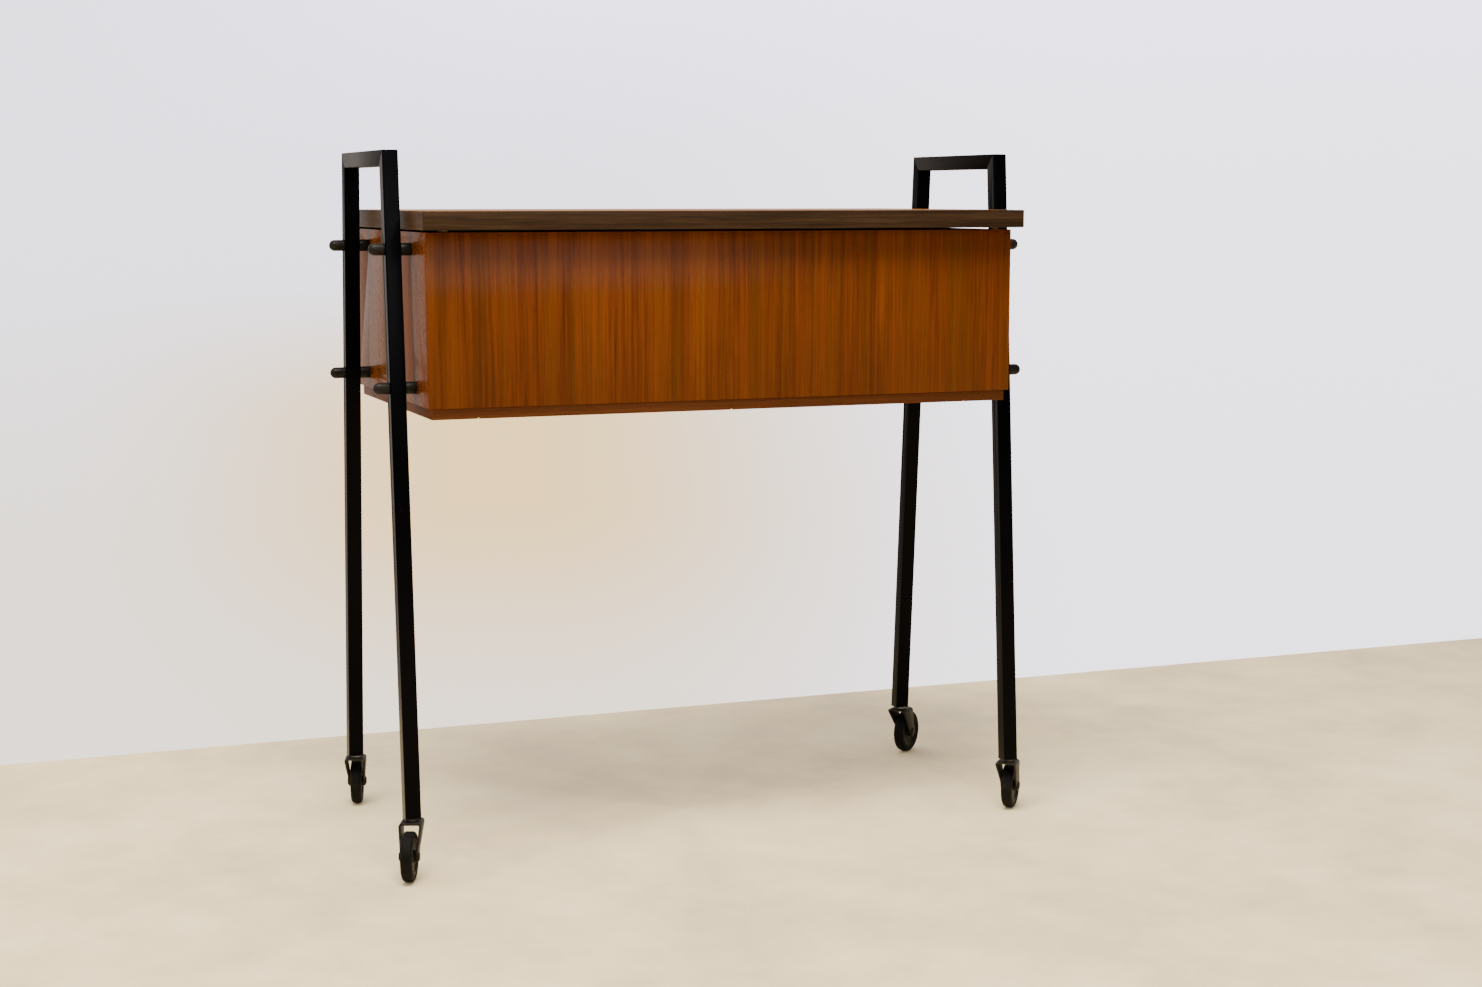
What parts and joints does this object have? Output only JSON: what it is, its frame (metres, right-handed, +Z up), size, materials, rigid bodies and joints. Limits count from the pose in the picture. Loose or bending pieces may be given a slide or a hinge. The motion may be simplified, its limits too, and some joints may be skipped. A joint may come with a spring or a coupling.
{
  "type": "sewing trolley",
  "caption": "Closed wooden sewing case with a hinged lid and sliding trays, hung between two black tube trestles on swivel casters.",
  "frame": {"origin": "on the floor, under the middle of the case", "axes": "+X to the right along the case, +Y to the back where the lid is hinged, +Z up"},
  "size_m": [0.7273, 0.364, 0.72],
  "materials": {
    "teak": "satin lacquered teak veneer with upright grain",
    "edge_wood": "dark oiled solid wood edging with lengthwise grain",
    "bottom_wood": "stained board, dull",
    "tray_wood": "clear lacquered beech",
    "tray_ply": "thin birch plywood",
    "pin_wood": "turned birch",
    "black_paint": "satin black paint on square steel tube",
    "black_plastic": "black moulded plastic",
    "zinc_steel": "zinc plated steel",
    "caster_steel": "black enamelled pressed steel",
    "wheel_plastic": "black moulded wheel centre",
    "rubber": "black rubber, slightly dusty",
    "brass": "brass, lightly dulled",
    "felt": "brown felt"
  },
  "bodies": {
    "stand_and_case": {"left_front_leg": "black_paint", "left_back_leg": "black_paint", "right_front_leg": "black_paint", "right_back_leg": "black_paint", "left_handle_bar": "black_paint", "right_handle_bar": "black_paint", "leg_sockets": "black_plastic", "front_panel": "teak", "back_panel": "teak", "left_side_panel": "teak", "right_side_panel": "teak", "bottom_board": "bottom_wood", "bottom_screws": "brass", "upper_runners": "tray_wood", "lower_runners": "tray_wood", "frame_bolts": "zinc_steel", "peg_spacers": "black_plastic", "peg_caps": "black_plastic", "hinge_box_leaves": "brass", "hinge_pins": "brass", "hinge_box_screws": "brass", "back_rim_felt": "felt"},
    "lid": {"lid_core": "teak", "lid_front_lipping": "edge_wood", "lid_back_lipping": "edge_wood", "lid_end_lippings": "edge_wood", "hinge_lid_leaves": "brass", "hinge_lid_screws": "brass", "lid_bumpers": "felt"},
    "upper_tray": {"upper_tray_sides": "tray_wood", "upper_tray_ends": "tray_wood", "upper_tray_bottom": "tray_ply", "upper_tray_dividers": "tray_wood", "upper_tray_spool_pins": "pin_wood"},
    "lower_tray": {"lower_tray_sides": "tray_wood", "lower_tray_ends": "tray_wood", "lower_tray_bottom": "tray_ply", "lower_tray_dividers": "tray_wood"},
    "caster_fl": {"caster_fl_fork": "caster_steel", "caster_fl_stem": "zinc_steel", "caster_fl_axle": "caster_steel"},
    "wheel_fl": {"caster_fl_hub": "wheel_plastic", "caster_fl_tyre": "rubber"},
    "caster_fr": {"caster_fr_fork": "caster_steel", "caster_fr_stem": "zinc_steel", "caster_fr_axle": "caster_steel"},
    "wheel_fr": {"caster_fr_hub": "wheel_plastic", "caster_fr_tyre": "rubber"},
    "caster_bl": {"caster_bl_fork": "caster_steel", "caster_bl_stem": "zinc_steel", "caster_bl_axle": "caster_steel"},
    "wheel_bl": {"caster_bl_hub": "wheel_plastic", "caster_bl_tyre": "rubber"},
    "caster_br": {"caster_br_fork": "caster_steel", "caster_br_stem": "zinc_steel", "caster_br_axle": "caster_steel"},
    "wheel_br": {"caster_br_hub": "wheel_plastic", "caster_br_tyre": "rubber"}
  },
  "joints": [
    {"name": "lid_hinge", "type": "hinge", "parent": "stand_and_case", "child": "lid", "pos_m": [0, 0.1666, 0.6399], "axis": [-1, 0, 0], "range_deg": [0, 105]},
    {"name": "upper_tray_slide", "type": "slide", "parent": "stand_and_case", "child": "upper_tray", "axis": [1, 0, 0], "range_m": [0, 0.315]},
    {"name": "lower_tray_slide", "type": "slide", "parent": "stand_and_case", "child": "lower_tray", "axis": [-1, 0, 0], "range_m": [0, 0.315]},
    {"name": "caster_fl_swivel", "type": "hinge", "parent": "stand_and_case", "child": "caster_fl", "pos_m": [-0.334, -0.13889, 0.0588], "axis": [0, 0, 1], "continuous": true},
    {"name": "wheel_fl_spin", "type": "hinge", "parent": "caster_fl", "child": "wheel_fl", "pos_m": [-0.34074, -0.15558, 0.025], "axis": [0.9272, -0.3746, 0], "continuous": true},
    {"name": "caster_fr_swivel", "type": "hinge", "parent": "stand_and_case", "child": "caster_fr", "pos_m": [0.334, -0.13889, 0.0588], "axis": [0, 0, 1], "continuous": true},
    {"name": "wheel_fr_spin", "type": "hinge", "parent": "caster_fr", "child": "wheel_fr", "pos_m": [0.34557, -0.1251, 0.025], "axis": [-0.766, 0.6428, 0], "continuous": true},
    {"name": "caster_bl_swivel", "type": "hinge", "parent": "stand_and_case", "child": "caster_bl", "pos_m": [-0.334, 0.13889, 0.0588], "axis": [0, 0, 1], "continuous": true},
    {"name": "wheel_bl_spin", "type": "hinge", "parent": "caster_bl", "child": "wheel_bl", "pos_m": [-0.32904, 0.15619, 0.025], "axis": [-0.9613, 0.2756, 0], "continuous": true},
    {"name": "caster_br_swivel", "type": "hinge", "parent": "stand_and_case", "child": "caster_br", "pos_m": [0.334, 0.13889, 0.0588], "axis": [0, 0, 1], "continuous": true},
    {"name": "wheel_br_spin", "type": "hinge", "parent": "caster_br", "child": "wheel_br", "pos_m": [0.34799, 0.15022, 0.025], "axis": [-0.6293, 0.7771, 0], "continuous": true}
  ]
}
